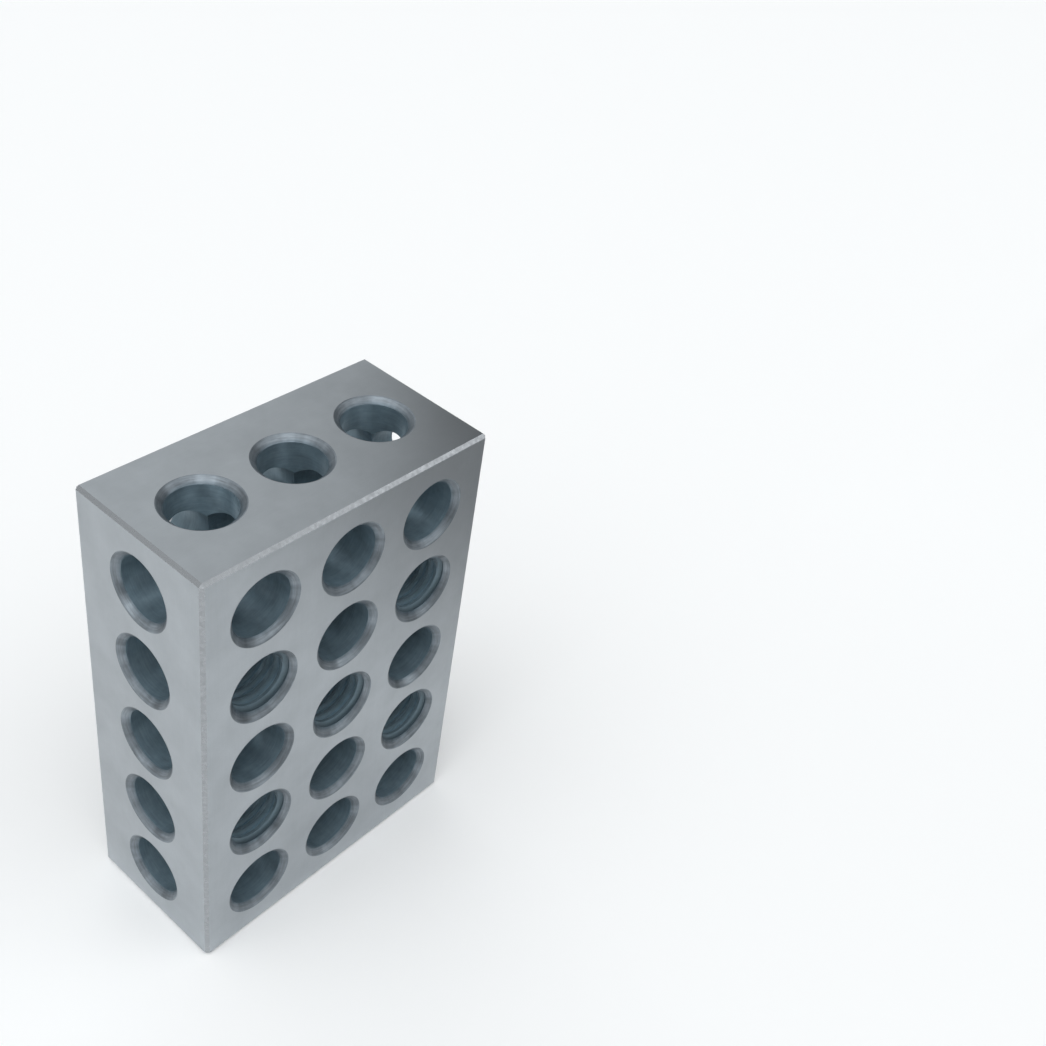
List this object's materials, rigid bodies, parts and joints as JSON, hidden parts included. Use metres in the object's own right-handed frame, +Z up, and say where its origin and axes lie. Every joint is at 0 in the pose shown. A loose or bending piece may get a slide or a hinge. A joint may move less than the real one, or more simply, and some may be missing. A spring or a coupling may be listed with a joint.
{
  "type": "machinist setup block",
  "caption": "Rectangular ground steel setup block with countersunk through holes along all three directions that cross inside, some of them tapped.",
  "frame": {"origin": "centre of the 50 by 25 mm end face that the block stands on", "axes": "+X along the 50 mm width, +Y through the 25 mm thickness, +Z up along the 75 mm height"},
  "size_m": [0.05, 0.025, 0.075],
  "materials": {
    "ground_steel": "satin ground hardened steel, light cool grey"
  },
  "bodies": {
    "root": {"setup_block": "ground_steel"}
  },
  "joints": []
}
